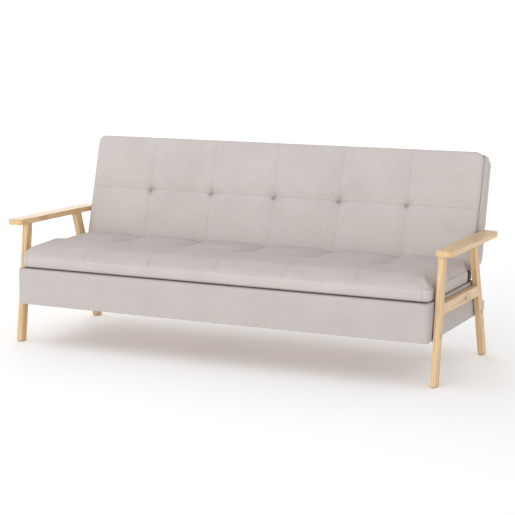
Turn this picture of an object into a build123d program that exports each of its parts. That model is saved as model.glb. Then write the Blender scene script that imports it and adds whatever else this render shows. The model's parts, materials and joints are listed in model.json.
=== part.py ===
"""Three-seat sofa bed with a reclining back and solid wood arm frames.

Frame: X runs along the sofa (right arm at +X), Y runs from the front (-Y) to the rear (+Y), Z is up
from the floor. The origin is on the floor, in the middle of the sofa's outline. Sizes are millimetres.
Heights are measured from the floor, depths from the front face of the upholstered base box.
"""
import os
from math import cos, radians, sin

from build123d import *

os.makedirs("parts", exist_ok=True)

# ---- overall ----------------------------------------------------------------------------------
overall_depth = 803.8
front_y = -overall_depth / 2        # the base box's front face
fabric = 2.0                        # sewn cover, with its lining
skin = 3.0                          # cover stuck to thin wadding over the base's boards
gap = 2.0                           # shadow gap between the seat and the base

# ---- base box and its floor frame ---------------------------------------------------------------
base_half = 894.0
base_depth = 598.0
base_bottom, base_top = 168.0, 317.0
corner_r = 14.0
board = 15.0                        # thickness of the box's boards
rail_w, rail_h = 27.0, 38.0         # section of the floor frame's rails
frame_depth = 737.0                 # the floor frame reaches out behind the box, under the back
bottom_panel_t = 4.0
block_w = 30.0                      # corner blocks and the ledges that carry the seat
ledge_h = 16.0

# ---- arm frames ---------------------------------------------------------------------------------
leg_in = 899.0                      # inner face of the legs
leg_t = 23.0
arm_bottom, arm_t = 491.0, 24.0
arm_w = 69.0
arm_front, arm_rear = 34.0, 660.0
glide_h = 3.0
front_leg_w, rear_leg_w = 41.0, 44.0
front_leg_foot, front_leg_head = 46.5, 106.0      # centre line at the floor and under the arm
rear_leg_foot, rear_leg_head = 671.0, 497.0
stretcher_low, stretcher_high = 261.0, 306.0
dowel_r, dowel_l, dowel_fit = 4.0, 28.0, 0.05

# ---- seat ---------------------------------------------------------------------------------------
seat_half = 890.0
seat_front, seat_rear = 20.0, 530.0
seat_bottom, seat_top = base_top + gap, 400.0
seat_corner_r = 30.0
seat_frame_h = 22.0
seat_frame_half = 882.0

# ---- back ---------------------------------------------------------------------------------------
recline = 15.0                      # lean of the back as a sofa, from upright
crease_y, crease_z = 545.0, 387.0   # a point on the back's front face, level with the seat's crease
back_half = 892.0
back_low, back_high = -43.0, 459.0  # ends of the front cushion, along the back, from the crease
front_layer = 40.0                  # depth of the front cushion
band_low = 5.0                      # the frame starts this far above the crease
rear_layer_at = 100.0               # depth where the rear pad starts
rear_top_depth, rear_low_depth = 149.0, 172.0
rear_high = 452.0

# ---- click mechanism ----------------------------------------------------------------------------
pivot_u, pivot_w = -18.4, 41.2      # the pivot in the back's own directions
plate_t = 5.0
plate_gap = 2.0
eye_r = 16.0                        # rounded end of each plate, round the pivot
pivot_r = 6.0
running = 0.05
fixed_plate_in = base_half - skin - board - plate_t
back_arm_in = fixed_plate_in - plate_gap - plate_t
seat_arm_in = back_arm_in - plate_gap - plate_t
screw_r = 3.0
fixed_screws = [(515.0, 262.0), (560.0, 262.0), (552.0, 292.0)]
fixed_plate_front = 500.0

# Side view: across is depth from the box's front face, up is height.
side_view = Plane(origin=(0, front_y, 0), x_dir=(0, 1, 0), z_dir=(1, 0, 0))
# The back's side view: across is up the back, up is depth into the back from its front face.
lean = radians(recline)
back_side = Plane(origin=(0, front_y + crease_y, crease_z), x_dir=(0, sin(lean), cos(lean)),
                  z_dir=(-1, 0, 0))
# The back's front view: across is X, up is up the back.
back_face = Plane(origin=(0, front_y + crease_y, crease_z), x_dir=(1, 0, 0),
                  z_dir=(0, -cos(lean), sin(lean)))

pivot_y = crease_y + pivot_u * sin(lean) + pivot_w * cos(lean)
pivot_z = crease_z + pivot_u * cos(lean) - pivot_w * sin(lean)
sides = {"right": 1, "left": -1}


def block(x0, x1, y0, y1, z0, z1, mode=Mode.ADD):
    """A box between two X, two depths and two heights."""
    with Locations(((x0 + x1) / 2, front_y + (y0 + y1) / 2, (z0 + z1) / 2)):
        Box(x1 - x0, y1 - y0, z1 - z0, mode=mode)


def back_block(x0, x1, u0, u1, w0, w1, mode=Mode.ADD):
    """A box in the back's own directions: along X, up the back and into the back."""
    with BuildSketch(back_side.offset(-x1)) as outline:
        with Locations(((u0 + u1) / 2, (w0 + w1) / 2)):
            Rectangle(u1 - u0, w1 - w0)
    extrude(outline.sketch, amount=x1 - x0, mode=mode)


def layer(side, inner, thickness):
    """The side view's plane from which a plate, inner from the middle, extrudes along +X."""
    start = inner if side > 0 else -inner - thickness
    return side_view.offset(start)


def across(side, inner, outer):
    """The X range of something between two distances from the middle, on one side."""
    return (inner, outer) if side > 0 else (-outer, -inner)


def save(builder, name):
    builder.part.label = name
    export_step(builder.part, f"parts/{name}.step")


def slanted_bar(foot_y, head_y, width, foot_z, head_z):
    """Outline of a bar whose centre line leans from the floor to under the arm, in the side view."""
    slope = (head_y - foot_y) / arm_bottom
    half = width / 2 * (1 + slope * slope) ** 0.5
    low = foot_y + slope * foot_z
    high = foot_y + slope * head_z
    return [(low - half, foot_z), (low + half, foot_z), (high + half, head_z), (high - half, head_z)]


def leg_edge(foot_y, head_y, width, height, toward):
    """Depth of a leg's front (toward -1) or rear (toward 1) edge at a height."""
    slope = (head_y - foot_y) / arm_bottom
    return foot_y + slope * height + toward * width / 2 * (1 + slope * slope) ** 0.5


# ---- arm frames: legs, stretchers, armrests, glides, dowels ---------------------------------------
leg_lines = {
    "front": (front_leg_foot, front_leg_head, front_leg_w),
    "rear": (rear_leg_foot, rear_leg_head, rear_leg_w),
}
stretcher_mid = (stretcher_low + stretcher_high) / 2
rail_dowel_z = [stretcher_mid - 11.5, stretcher_mid + 11.5]
rail_joints = [
    leg_edge(*leg_lines["front"], stretcher_mid, 1),
    leg_edge(*leg_lines["rear"], stretcher_mid, -1),
]
arm_dowel_spots = [
    (line[1] + shift) for line in leg_lines.values() for shift in (-10.0, 10.0)
]
bolt_r, bolt_fit = 4.0, 0.1
low_bolt_z = base_bottom + skin + rail_h / 2
# depth, height and the inner face that the nut sits on
leg_bolts = {
    "front": [(70.5, low_bolt_z, "rail")],
    "rear": [(602.0, low_bolt_z, "rail")],
    "stretcher": [(379.0, 281.5, "board")],
}
nut_face = {"rail": base_half - skin - rail_w, "board": base_half - skin - board}


def cross_bores(side, spots, radius):
    """Holes along X through whatever is on one side, at the given depths and heights."""
    with BuildSketch(layer(side, leg_in - 60, 100)) as holes:
        with Locations(*spots):
            Circle(radius)
    extrude(holes.sketch, amount=100, mode=Mode.SUBTRACT)


def rail_dowel_bores():
    for y in rail_joints:
        with Locations(*[(x, front_y + y, z) for x in dowel_x for z in rail_dowel_z]):
            Cylinder(dowel_r + dowel_fit, dowel_l + 1, rotation=(90, 0, 0), mode=Mode.SUBTRACT)


def arm_dowel_bores():
    with Locations(*[(x, front_y + y, arm_bottom - 4) for x in dowel_x for y in arm_dowel_spots]):
        Cylinder(dowel_r + dowel_fit, dowel_l + 1, mode=Mode.SUBTRACT)


dowel_x = [side * (leg_in + leg_t / 2) for side in sides.values()]

for side_name, side in sides.items():
    for place, line in leg_lines.items():
        with BuildPart() as leg:
            with BuildSketch(layer(side, leg_in, leg_t)):
                with BuildLine():
                    Polyline(*slanted_bar(*line, glide_h, arm_bottom), close=True)
                make_face()
            extrude(amount=leg_t)
            fillet(leg.edges().filter_by(lambda e: e.length > 300), 2.5)
            rail_dowel_bores()
            arm_dowel_bores()
            cross_bores(side, [spot[:2] for spot in leg_bolts[place]], bolt_r + bolt_fit)
        save(leg, f"{side_name}_{place}_leg")

    with BuildPart() as stretcher:
        with BuildSketch(layer(side, leg_in, leg_t)):
            with BuildLine():
                Polyline(
                    (leg_edge(*leg_lines["front"], stretcher_low, 1), stretcher_low),
                    (leg_edge(*leg_lines["rear"], stretcher_low, -1), stretcher_low),
                    (leg_edge(*leg_lines["rear"], stretcher_high, -1), stretcher_high),
                    (leg_edge(*leg_lines["front"], stretcher_high, 1), stretcher_high),
                    close=True,
                )
            make_face()
        extrude(amount=leg_t)
        fillet(stretcher.edges().filter_by(Axis.Y), 2.5)
        rail_dowel_bores()
        cross_bores(side, [spot[:2] for spot in leg_bolts["stretcher"]], bolt_r + bolt_fit)
    save(stretcher, f"{side_name}_side_rail")

    with BuildPart() as armrest:
        with BuildSketch(Plane.XY.offset(arm_bottom)):
            low, high = across(side, leg_in, leg_in + arm_w)
            with Locations(((low + high) / 2, front_y + (arm_front + arm_rear) / 2)):
                RectangleRounded(arm_w, arm_rear - arm_front, 24)
        extrude(amount=arm_t)
        fillet(armrest.faces().sort_by(Axis.Z)[-1].edges(), 6)
        fillet(armrest.faces().sort_by(Axis.Z)[0].edges(), 4)
        arm_dowel_bores()
    save(armrest, f"{side_name}_armrest")

with BuildPart() as glides:
    for side in sides.values():
        for foot_y, _, width in leg_lines.values():
            with BuildSketch(Plane.XY):
                with Locations((side * (leg_in + leg_t / 2), front_y + foot_y)):
                    RectangleRounded(leg_t - 4, width - 6, 4)
            extrude(amount=glide_h)
save(glides, "leg_glides")

with BuildPart() as arm_dowels:
    with Locations(*[(x, front_y + y, arm_bottom - 4) for x in dowel_x for y in arm_dowel_spots]):
        Cylinder(dowel_r, dowel_l)
save(arm_dowels, "armrest_dowels")

with BuildPart() as rail_dowels:
    with Locations(*[(x, front_y + y, z) for x in dowel_x for y in rail_joints for z in rail_dowel_z]):
        Cylinder(dowel_r, dowel_l, rotation=(90, 0, 0))
save(rail_dowels, "side_rail_dowels")

# ---- fasteners that hold the arm frames to the base -----------------------------------------------
all_bolts = [spot for spots in leg_bolts.values() for spot in spots]
head_r, head_h = 6.5, 4.0
nut_h, nut_r = 6.5, 7.0

with BuildPart() as frame_bolts:
    for side in sides.values():
        for y, z, face in all_bolts:
            shank_in = nut_face[face] - nut_h - 2
            with BuildSketch(layer(side, shank_in, leg_in + leg_t - shank_in)):
                with Locations((y, z)):
                    Circle(bolt_r)
            extrude(amount=leg_in + leg_t - shank_in)
            head_face = side_view.offset(side * (leg_in + leg_t))
            with BuildSketch(head_face):
                with Locations((y, z)):
                    Circle(head_r)
            extrude(amount=side * head_h)
            with BuildSketch(side_view.offset(side * (leg_in + leg_t + head_h))):
                with Locations((y, z)):
                    RegularPolygon(2.5, 6)
            extrude(amount=-side * 2.5, mode=Mode.SUBTRACT)
    rims = frame_bolts.edges().filter_by(GeomType.CIRCLE).filter_by(
        lambda e: abs(e.radius - head_r) < 0.01 and abs(e.center().X) > leg_in + leg_t + 1)
    fillet(rims, 2.0)
save(frame_bolts, "frame_bolts")

with BuildPart() as frame_nuts:
    for side in sides.values():
        for y, z, face in all_bolts:
            with BuildSketch(layer(side, nut_face[face] - nut_h, nut_h)):
                with Locations((y, z)):
                    RegularPolygon(nut_r, 6)
                    Circle(bolt_r + bolt_fit, mode=Mode.SUBTRACT)
            extrude(amount=nut_h)
save(frame_nuts, "frame_nuts")

with BuildPart() as leg_spacers:
    for side in sides.values():
        for y, z, _ in all_bolts:
            with BuildSketch(layer(side, base_half, leg_in - base_half)):
                with Locations((y, z)):
                    Circle(11)
                    Circle(bolt_r + bolt_fit, mode=Mode.SUBTRACT)
            extrude(amount=leg_in - base_half)
save(leg_spacers, "leg_spacers")

# ---- base: floor frame, box boards, corner blocks, cover ------------------------------------------
rail_z0 = base_bottom + skin
rail_z1 = rail_z0 + rail_h
board_half = base_half - skin
rail_in = board_half - rail_w
box_in = board_half - board
box_front_in = skin + board
box_rear_in = base_depth - skin - board
board_z1 = base_top - skin
rear_rail_at = frame_depth - skin - rail_w
front_rail_at = box_front_in

with BuildPart() as front_rail:
    block(-board_half, board_half, front_rail_at, front_rail_at + rail_w, rail_z0, rail_z1)
save(front_rail, "floor_frame_front_rail")

with BuildPart() as rear_rail:
    block(-board_half, board_half, rear_rail_at, rear_rail_at + rail_w, rail_z0, rail_z1)
save(rear_rail, "floor_frame_rear_rail")

for side_name, side in sides.items():
    with BuildPart() as side_rail:
        block(*across(side, rail_in, board_half), front_rail_at + rail_w, rear_rail_at, rail_z0, rail_z1)
        cross_bores(side, [s[:2] for s in all_bolts if s[2] == "rail"], bolt_r + bolt_fit)
    save(side_rail, f"floor_frame_{side_name}_rail")

with BuildPart() as bearers:
    bearer_x = base_half / 3
    for x in (-bearer_x, bearer_x):
        block(x - rail_w / 2, x + rail_w / 2, front_rail_at + rail_w, rear_rail_at, rail_z0, rail_z1)
save(bearers, "floor_frame_bearers")

with BuildPart() as front_board:
    block(-board_half, board_half, skin, box_front_in, rail_z0, board_z1)
    fillet(front_board.edges().filter_by(Axis.Z).group_by(Axis.Y)[0], corner_r - skin)
save(front_board, "base_front_board")

with BuildPart() as rear_board:
    block(-board_half, board_half, box_rear_in, box_rear_in + board, rail_z1, board_z1)
    fillet(rear_board.edges().filter_by(Axis.Z).group_by(Axis.Y)[-1], corner_r - skin)
save(rear_board, "base_rear_board")

for side_name, side in sides.items():
    with BuildPart() as side_board:
        block(*across(side, box_in, board_half), box_front_in, box_rear_in, rail_z1, board_z1)
        cross_bores(side, [s[:2] for s in all_bolts if s[2] == "board"], bolt_r + bolt_fit)
        cross_bores(side, fixed_screws, screw_r)
    save(side_board, f"base_{side_name}_board")

with BuildPart() as bottom_panel:
    block(-box_in, box_in, box_front_in, box_rear_in, rail_z1, rail_z1 + bottom_panel_t)
save(bottom_panel, "base_bottom_panel")

ledge_z0 = board_z1 - ledge_h
ledge_rear = fixed_plate_front - 4.0
with BuildPart() as ledges:
    block(-box_in, box_in, box_front_in, box_front_in + block_w, ledge_z0, board_z1)
save(ledges, "base_front_ledge")

with BuildPart() as side_ledges:
    for side in sides.values():
        block(*across(side, box_in - block_w, box_in), box_front_in + block_w, ledge_rear, ledge_z0,
              board_z1)
save(side_ledges, "base_side_ledges")

block_z0 = rail_z1 + bottom_panel_t
with BuildPart() as corner_blocks:
    for side in sides.values():
        for y, lean_y in ((box_front_in, 1), (ledge_rear, -1)):
            with BuildSketch(Plane.XY.offset(block_z0)):
                with BuildLine():
                    Polyline(
                        (side * box_in, front_y + y),
                        (side * (box_in - block_w), front_y + y),
                        (side * box_in, front_y + y + lean_y * block_w),
                        close=True,
                    )
                make_face()
            extrude(amount=80)
save(corner_blocks, "base_corner_blocks")

with BuildPart() as base_cover:
    with BuildSketch(Plane.XY.offset(base_bottom)):
        with Locations((0, front_y + base_depth / 2)):
            RectangleRounded(2 * base_half, base_depth, corner_r)
    extrude(amount=base_top - base_bottom)
    with BuildSketch(Plane.XY.offset(rail_z0)):
        with Locations((0, front_y + base_depth / 2)):
            RectangleRounded(2 * board_half, base_depth - 2 * skin, corner_r - skin)
    extrude(amount=board_z1 - rail_z0, mode=Mode.SUBTRACT)
    block(-box_in + block_w, box_in - block_w, box_front_in + block_w, box_rear_in, board_z1 - 1,
          base_top + 1, Mode.SUBTRACT)
    block(-box_in, box_in, ledge_rear, box_rear_in, board_z1 - 1, base_top + 1, Mode.SUBTRACT)
    block(-rail_in, rail_in, box_front_in + rail_w, base_depth + 1, base_bottom - 1, rail_z0 + 1,
          Mode.SUBTRACT)
    block(-base_half - 1, base_half + 1, base_depth - corner_r, base_depth + 1, base_bottom - 1,
          rail_z1, Mode.SUBTRACT)
    for side in sides.values():
        cross_bores(side, [s[:2] for s in all_bolts], bolt_r + bolt_fit)
save(base_cover, "base_cover")

stop_r = 7.0
with BuildPart() as seat_stops:
    with BuildSketch(Plane.XY.offset(base_top)):
        with Locations(*[(x, front_y + box_front_in + block_w - stop_r - 1) for x in (-560, 0, 560)]):
            Circle(stop_r)
        with Locations(*[(x * (box_in - block_w / 2), front_y + 300) for x in (-1, 1)]):
            Circle(stop_r)
    extrude(amount=gap - 0.3)
save(seat_stops, "seat_stops")

with BuildPart() as rail_cover:
    wrap_in = rail_in - skin
    start = base_depth - corner_r
    for side in sides.values():
        block(*across(side, wrap_in, base_half), start, frame_depth, base_bottom, rail_z1)
    block(-wrap_in, wrap_in, rear_rail_at - skin, frame_depth, base_bottom, rail_z1)
    block(-base_half, base_half, base_depth, frame_depth, rail_z1, rail_z1 + skin)
    block(-wrap_in, wrap_in, base_depth - 1, rear_rail_at - skin, rail_z1 - 1, rail_z1 + skin + 1,
          Mode.SUBTRACT)
    block(-board_half, board_half, rear_rail_at, rear_rail_at + rail_w, rail_z0, rail_z1, Mode.SUBTRACT)
    for side in sides.values():
        block(*across(side, rail_in, board_half), start - 1, rear_rail_at, rail_z0, rail_z1,
              Mode.SUBTRACT)
        cross_bores(side, [s[:2] for s in all_bolts if s[0] > start], nut_r + 1)
    for x in (-bearer_x, bearer_x):
        block(x - rail_w / 2, x + rail_w / 2, start, rear_rail_at, rail_z0, rail_z1, Mode.SUBTRACT)
save(rail_cover, "floor_frame_cover")

# ---- click mechanism plates and pivots --------------------------------------------------------------


def eye(radius, mode=Mode.ADD):
    with Locations((pivot_y, pivot_z)):
        Circle(radius, mode=mode)


def plate(side, inner, corners, bore):
    """A flat plate: a hull of its corners and the round eye at the pivot, with the pivot's hole."""
    with BuildSketch(layer(side, inner, plate_t)) as outline:
        with BuildLine():
            Polyline(*corners, close=True)
        make_face()
        eye(eye_r)
        eye(bore, Mode.SUBTRACT)
    extrude(outline.sketch, amount=plate_t)


fixed_corners = [
    (fixed_plate_front, 240.0), (576.0, 240.0), (576.0, base_top + 1.5), (600.0, base_top + 2.5),
    (600.0, 348.0), (pivot_y + eye_r, pivot_z), (pivot_y - eye_r, pivot_z), (550.0, 318.0),
    (536.0, 300.0), (fixed_plate_front, 290.0),
]

arm_low, arm_high = seat_bottom + 1.5, seat_bottom + 12.0
seat_frame_z0 = seat_bottom + fabric
seat_frame_z1 = seat_frame_z0 + seat_frame_h
seat_frame_front, seat_frame_rear = 40.0, 512.0
seat_rail_w = 20.0
seat_arm_corners = [
    (400.0, arm_low), (586.0, arm_low), (pivot_y + eye_r, pivot_z), (pivot_y - 8.0, pivot_z),
    (566.0, arm_high), (seat_frame_rear - seat_rail_w - 2, arm_high), (480.0, seat_frame_z1 - 1),
    (400.0, seat_frame_z1 - 1),
]
seat_arm_screws = [(420.0, seat_frame_z0 + 11), (480.0, seat_frame_z0 + 11)]

deck_t, panel_t = 2.0, 6.0
stile_w0, stile_w1 = front_layer + deck_t, rear_layer_at - panel_t
stile_x1 = back_half - 3.0
stile_x0 = back_arm_in + plate_t
back_arm_screws = [(40.0, 62.0), (110.0, 62.0)]

for side_name, side in sides.items():
    with BuildPart() as fixed_plate:
        plate(side, fixed_plate_in, fixed_corners, pivot_r)
        with BuildSketch(layer(side, fixed_plate_in, plate_t)):
            with Locations(*fixed_screws):
                Circle(screw_r)
        extrude(amount=plate_t, mode=Mode.SUBTRACT)
    save(fixed_plate, f"{side_name}_fixed_plate")

    with BuildPart() as seat_arm:
        plate(side, seat_arm_in, seat_arm_corners, pivot_r + running)
        with BuildSketch(layer(side, seat_arm_in, plate_t)):
            with Locations(*seat_arm_screws):
                Circle(screw_r)
        extrude(amount=plate_t, mode=Mode.SUBTRACT)
    save(seat_arm, f"{side_name}_seat_arm")

    with BuildPart() as back_arm:
        start = back_arm_in + plate_t if side > 0 else -back_arm_in
        with BuildSketch(back_side.offset(-start)):
            with BuildLine():
                Polyline(
                    (pivot_u - 10, pivot_w + 12), (band_low + 8, stile_w1 - 20), (135.0, stile_w1 - 20),
                    (135.0, stile_w0 + 4), (band_low + 18, stile_w0 + 4), (pivot_u + 6, pivot_w - 14),
                    close=True,
                )
            make_face()
            with Locations((pivot_u, pivot_w)):
                Circle(eye_r)
                Circle(pivot_r + running, mode=Mode.SUBTRACT)
            with Locations(*back_arm_screws):
                Circle(screw_r, mode=Mode.SUBTRACT)
        extrude(amount=plate_t)
    save(back_arm, f"{side_name}_back_arm")

    with BuildPart() as pivot_bolt:
        shank_in = seat_arm_in - plate_gap - 9.0
        bolt_out = fixed_plate_in + plate_t
        with BuildSketch(layer(side, shank_in, bolt_out - shank_in)):
            eye(pivot_r)
        extrude(amount=bolt_out - shank_in)
        with BuildSketch(layer(side, bolt_out, 4.5)):
            eye(10.0)
        extrude(amount=4.5)
        with BuildSketch(layer(side, shank_in, 7.0)):
            with Locations((pivot_y, pivot_z)):
                RegularPolygon(10.0, 6)
        extrude(amount=7.0)
    save(pivot_bolt, f"{side_name}_pivot_bolt")

with BuildPart() as plate_screws:
    for side in sides.values():
        with BuildSketch(layer(side, fixed_plate_in, plate_t + 10)):
            with Locations(*fixed_screws):
                Circle(screw_r - running)
        extrude(amount=plate_t + 10)
        with BuildSketch(layer(side, fixed_plate_in - 2.5, 2.5)):
            with Locations(*fixed_screws):
                Circle(5.0)
        extrude(amount=2.5)
save(plate_screws, "fixed_plate_screws")

# ---- seat: frame, slats, lining, foam, cover, buttons -------------------------------------------------
slat_count = 13
slat_w, slat_t = 53.0, 8.0
button_r, button_t = 11.0, 5.0
tuft_pitch = 2 * back_half / 6
tuft_x = [tuft_pitch * n for n in (-2, -1, 0, 1, 2)]
seat_tuft_y = 300.0
tuft_u = 225.0

with BuildPart() as seat_frame:
    block(-seat_frame_half, seat_frame_half, seat_frame_front, seat_frame_rear, seat_frame_z0,
          seat_frame_z1)
    block(-seat_frame_half + seat_rail_w, seat_frame_half - seat_rail_w,
          seat_frame_front + seat_rail_w, seat_frame_rear - seat_rail_w, seat_frame_z0 - 1,
          seat_frame_z1 + 1, Mode.SUBTRACT)
    for side in sides.values():
        block(*across(side, seat_arm_in - 0.5, seat_arm_in + plate_t), seat_frame_rear - seat_rail_w - 1,
              seat_frame_rear + 1, seat_frame_z0 - 1, arm_high + 0.5, Mode.SUBTRACT)
save(seat_frame, "seat_frame")

slat_pitch = 2 * (seat_frame_half - seat_rail_w) / (slat_count + 1)
slat_x = [slat_pitch * (n - (slat_count - 1) / 2) for n in range(slat_count)]
cap_l, cap_wall = 18.0, 3.0
slat_z = (seat_frame_z0 + seat_frame_z1) / 2
slat_y0 = seat_frame_front + seat_rail_w
slat_y1 = seat_frame_rear - seat_rail_w

with BuildPart() as seat_slats:
    for x in slat_x:
        block(x - slat_w / 2, x + slat_w / 2, slat_y0 + 3, slat_y1 - 3, slat_z - slat_t / 2,
              slat_z + slat_t / 2)
save(seat_slats, "seat_slats")

with BuildPart() as seat_slat_caps:
    for x in slat_x:
        for y0, y1 in ((slat_y0, slat_y0 + cap_l), (slat_y1 - cap_l, slat_y1)):
            block(x - slat_w / 2 - cap_wall, x + slat_w / 2 + cap_wall, y0, y1,
                  slat_z - slat_t / 2 - cap_wall, slat_z + slat_t / 2 + cap_wall)
        block(x - slat_w / 2, x + slat_w / 2, slat_y0 + 3, slat_y1 - 3, slat_z - slat_t / 2,
              slat_z + slat_t / 2, Mode.SUBTRACT)
save(seat_slat_caps, "seat_slat_caps")

with BuildPart() as seat_lining:
    block(-seat_arm_in + 5, seat_arm_in - 5, seat_frame_front, seat_frame_rear, seat_bottom + 0.5,
          seat_frame_z0)
save(seat_lining, "seat_lining")


def seat_pad_shape(inset):
    """The seat cushion's outline, drawn in by an inset on every side but the bottom."""
    with BuildSketch(Plane.XY.offset(seat_bottom)) as outline:
        with Locations((0, front_y + (seat_front + seat_rear) / 2)):
            RectangleRounded(2 * (seat_half - inset), seat_rear - seat_front - 2 * inset,
                             seat_corner_r - inset)
    extrude(outline.sketch, amount=seat_top - seat_bottom - inset)


def seat_button_wells(radius, floor_z):
    with BuildSketch(Plane.XY.offset(floor_z)) as wells:
        with Locations(*[(x, front_y + seat_tuft_y) for x in tuft_x]):
            Circle(radius)
    extrude(wells.sketch, amount=60, mode=Mode.SUBTRACT)


well = 15.0                         # how deep each button pulls the cushion in
with BuildPart() as seat_foam:
    seat_pad_shape(fabric)
    fillet(seat_foam.faces().sort_by(Axis.Z)[-1].edges(), 16)
    block(-seat_frame_half, seat_frame_half, seat_frame_front, seat_frame_rear, seat_bottom - 1,
          seat_frame_z1, Mode.SUBTRACT)
    seat_button_wells(button_r + fabric, seat_top - well - fabric)
    for side in sides.values():
        block(*across(side, seat_arm_in - 2, seat_arm_in + plate_t + 2), seat_frame_rear - 1,
              seat_rear + 1, seat_bottom - 1, seat_frame_z1 + 2, Mode.SUBTRACT)
save(seat_foam, "seat_foam")

with BuildPart() as seat_inside:
    seat_pad_shape(fabric)
    fillet(seat_inside.faces().sort_by(Axis.Z)[-1].edges(), 16)

with BuildPart() as seat_cover:
    seat_pad_shape(0)
    fillet(seat_cover.faces().sort_by(Axis.Z)[-1].edges(), 18)
    add(seat_inside.part, mode=Mode.SUBTRACT)
    seat_button_wells(button_r, seat_top - well)
    for side in sides.values():
        block(*across(side, seat_arm_in - 2, seat_arm_in + plate_t + 2), seat_frame_rear - 1,
              seat_rear + 1, seat_bottom - 1, seat_frame_z1 + 2, Mode.SUBTRACT)
save(seat_cover, "seat_cover")

with BuildPart() as seat_buttons:
    with BuildSketch(Plane.XY.offset(seat_top - well)):
        with Locations(*[(x, front_y + seat_tuft_y) for x in tuft_x]):
            Circle(button_r)
    extrude(amount=button_t)
    fillet(seat_buttons.faces().filter_by(Axis.Z).group_by(Axis.Z)[-1].edges(), 3)
save(seat_buttons, "seat_buttons")

# ---- back: frame, slats, deck, front cushion, band, rear panel and pad ---------------------------------
rail_u = 30.0
stile_u0, stile_u1 = band_low + fabric, rear_high - fabric

for side_name, side in sides.items():
    with BuildPart() as stile:
        back_block(*across(side, stile_x0, stile_x1), stile_u0, stile_u1, stile_w0, stile_w1)
    save(stile, f"back_{side_name}_stile")

with BuildPart() as back_top_rail:
    back_block(-stile_x0, stile_x0, stile_u1 - rail_u, stile_u1, stile_w0, stile_w1)
save(back_top_rail, "back_top_rail")

with BuildPart() as back_bottom_rail:
    back_block(-back_arm_in, back_arm_in, stile_u0, stile_u0 + rail_u, stile_w0, stile_w1)
save(back_bottom_rail, "back_bottom_rail")

slat_w_mid = (stile_w0 + stile_w1) / 2 - 10
slat_u0, slat_u1 = stile_u0 + rail_u, stile_u1 - rail_u

with BuildPart() as back_slats:
    for x in slat_x:
        back_block(x - slat_w / 2, x + slat_w / 2, slat_u0 + 3, slat_u1 - 3, slat_w_mid - slat_t / 2,
                   slat_w_mid + slat_t / 2)
save(back_slats, "back_slats")

with BuildPart() as back_slat_caps:
    for x in slat_x:
        for u0, u1 in ((slat_u0, slat_u0 + cap_l), (slat_u1 - cap_l, slat_u1)):
            back_block(x - slat_w / 2 - cap_wall, x + slat_w / 2 + cap_wall, u0, u1,
                       slat_w_mid - slat_t / 2 - cap_wall, slat_w_mid + slat_t / 2 + cap_wall)
        back_block(x - slat_w / 2, x + slat_w / 2, slat_u0 + 3, slat_u1 - 3,
                   slat_w_mid - slat_t / 2, slat_w_mid + slat_t / 2, Mode.SUBTRACT)
save(back_slat_caps, "back_slat_caps")

notch_in = seat_arm_in - plate_gap - 17.0
notch_floor = 20.0
notch_u0, notch_u1 = -22.0, 32.0


def mechanism_notch():
    """Room for the plates in both lower corners of the front cushion."""
    for side in sides.values():
        low, high = across(side, notch_in, back_half + 1)
        back_block(low, high, back_low - 1, notch_u0, -1, front_layer + 1, Mode.SUBTRACT)
        back_block(low, high, notch_u0, notch_u1, notch_floor, front_layer + 1, Mode.SUBTRACT)


def back_pad_shape(inset):
    """The front cushion's outline, drawn in by an inset all round."""
    high = back_high - inset
    low = back_low + inset
    with BuildSketch(back_face.offset(-inset)) as outline:
        with Locations((0, (low + high) / 2)):
            RectangleRounded(2 * (back_half - inset), high - low, 25 - inset)
    extrude(outline.sketch, amount=-(front_layer - 2 * inset))


def front_rim(builder):
    return builder.faces().filter_by(back_face).sort_by(Axis.Y)[0].edges()


def back_button_wells(radius, floor_w):
    with BuildSketch(back_face.offset(-floor_w)) as wells:
        with Locations(*[(x, tuft_u) for x in tuft_x]):
            Circle(radius)
    extrude(wells.sketch, amount=40, mode=Mode.SUBTRACT)


with BuildPart() as back_front_inside:
    back_pad_shape(fabric)
    fillet(front_rim(back_front_inside), 8)

with BuildPart() as back_front_foam:
    add(back_front_inside.part)
    back_button_wells(button_r + fabric, well + fabric)
    mechanism_notch()
save(back_front_foam, "back_front_foam")

with BuildPart() as back_front_cover:
    back_pad_shape(0)
    fillet(front_rim(back_front_cover), 10)
    add(back_front_inside.part, mode=Mode.SUBTRACT)
    back_button_wells(button_r, well)
    mechanism_notch()
save(back_front_cover, "back_front_cover")

with BuildPart() as back_buttons:
    with BuildSketch(back_face.offset(-well)):
        with Locations(*[(x, tuft_u) for x in tuft_x]):
            Circle(button_r)
    extrude(amount=button_t)
save(back_buttons, "back_buttons")

with BuildPart() as back_deck:
    back_block(-stile_x1, stile_x1, stile_u0, stile_u1, front_layer, stile_w0)
    for side in sides.values():
        back_block(*across(side, notch_in, stile_x1 + 1), stile_u0 - 1, notch_u1 + 4, front_layer - 1,
                   stile_w0 + 1, Mode.SUBTRACT)
save(back_deck, "back_deck")

with BuildPart() as back_band:
    back_block(-stile_x1 - fabric, stile_x1 + fabric, band_low, rear_high, front_layer, rear_layer_at)
    back_block(-stile_x1, stile_x1, stile_u0, stile_u1, front_layer - 1, rear_layer_at + 1,
               Mode.SUBTRACT)
    for side in sides.values():
        back_block(*across(side, back_arm_in - 2, back_arm_in + plate_t + 2), band_low - 1,
                   stile_u0 + 1, front_layer - 1, stile_w1 - 10, Mode.SUBTRACT)
save(back_band, "back_band_cover")

with BuildPart() as back_panel:
    back_block(-stile_x1, stile_x1, stile_u0, stile_u1, stile_w1, rear_layer_at)
save(back_panel, "back_rear_panel")


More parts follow.
